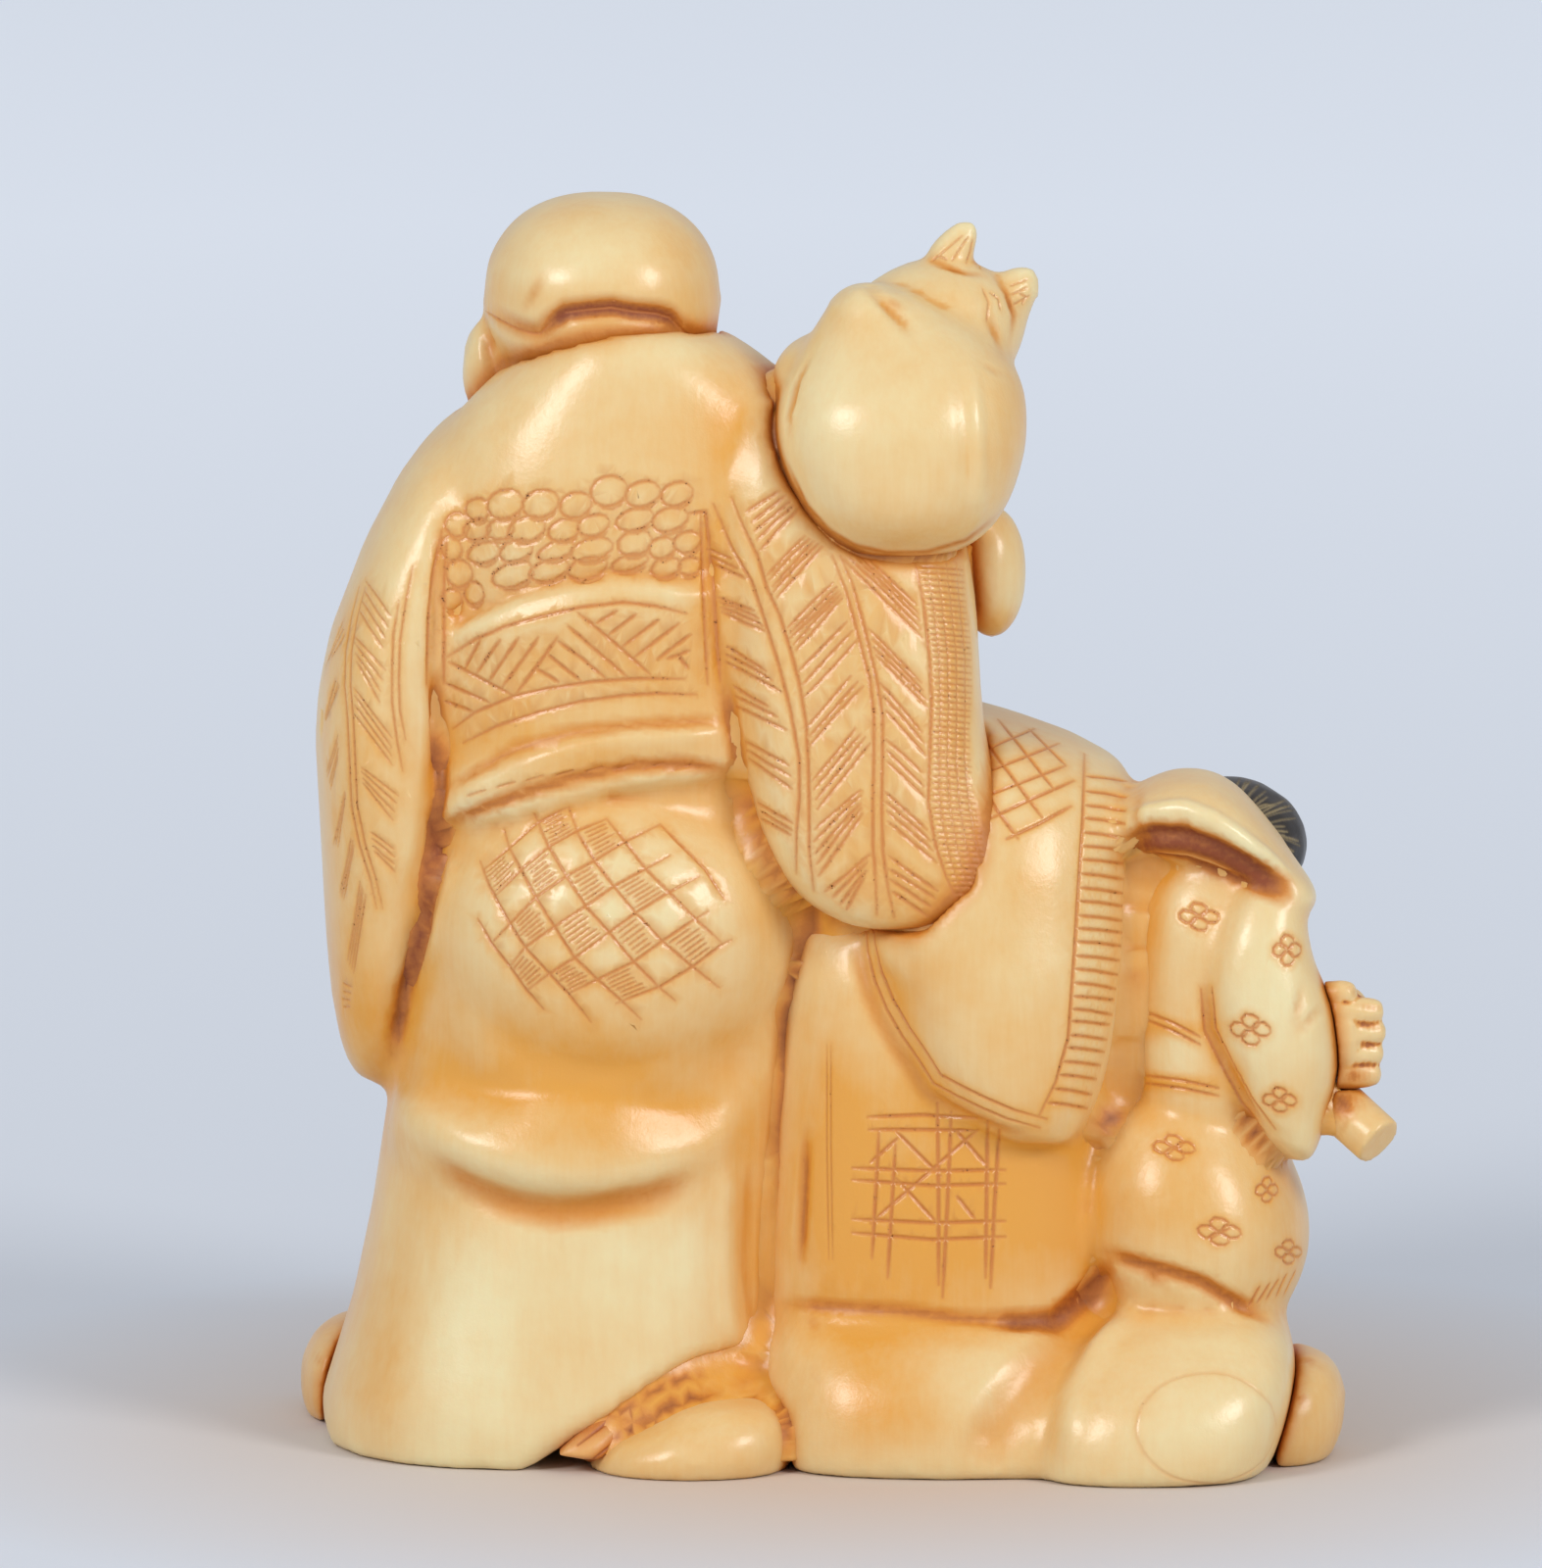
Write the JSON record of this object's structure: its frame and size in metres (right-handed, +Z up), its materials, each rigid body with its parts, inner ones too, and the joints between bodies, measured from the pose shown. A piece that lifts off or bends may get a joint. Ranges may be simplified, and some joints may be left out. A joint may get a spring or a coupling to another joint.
{
  "type": "netsuke figure group",
  "caption": "Small carved and stained netsuke: a standing sage with a child on the shoulder, beside a kneeling figure and a seated boy.",
  "frame": {"origin": "on the flat foot of the kneeling figure's lap, where the robe and the lap meet, at the level that the group stands on", "axes": "+Z up; the backs of the figures face -Y; +X runs from the standing figure to the seated boy"},
  "size_m": [0.0469, 0.0246, 0.0535],
  "materials": {
    "polished_ivory": "polished cream ivory with stained grooves",
    "honey_ivory": "polished honey-stained ivory",
    "brown_ivory": "brown-stained ivory",
    "black_ivory": "black-stained ivory hair",
    "raw_ivory": "unstained ivory"
  },
  "bodies": {
    "root": {"standing_robe": "polished_ivory", "inner_robe": "brown_ivory", "obi": "polished_ivory", "obi_cord": "brown_ivory", "left_sleeve": "polished_ivory", "right_sleeve": "polished_ivory", "standing_head": "polished_ivory", "left_hand": "polished_ivory", "right_hand": "polished_ivory", "left_foot": "polished_ivory", "right_foot": "polished_ivory", "shoulder_child_body": "polished_ivory", "shoulder_child_head": "polished_ivory", "hair_tuft_top": "polished_ivory", "hair_tuft_side": "polished_ivory", "shoulder_child_arm": "polished_ivory", "shoulder_child_leg": "polished_ivory", "kneeling_lap": "honey_ivory", "knee_core_plug": "raw_ivory", "kneeling_skirt": "honey_ivory", "kneeling_jacket": "polished_ivory", "jacket_edge_band": "polished_ivory", "kneeling_head": "polished_ivory", "kneeling_hair": "black_ivory", "kneeling_hands": "polished_ivory", "kneeling_foot": "honey_ivory", "boy_seat": "honey_ivory", "boy_torso": "polished_ivory", "boy_collar": "polished_ivory", "boy_head": "polished_ivory", "boy_hair": "black_ivory", "boy_sleeve": "polished_ivory", "boy_hand": "polished_ivory", "boy_rod": "polished_ivory", "neck_dowel": "raw_ivory", "left_sleeve_dowel": "raw_ivory", "right_sleeve_dowel": "raw_ivory", "shoulder_child_dowel": "raw_ivory", "kneeling_neck_dowel": "raw_ivory", "figures_dowel": "raw_ivory", "boy_dowel": "raw_ivory", "boy_neck_dowel": "raw_ivory"}
  },
  "joints": []
}
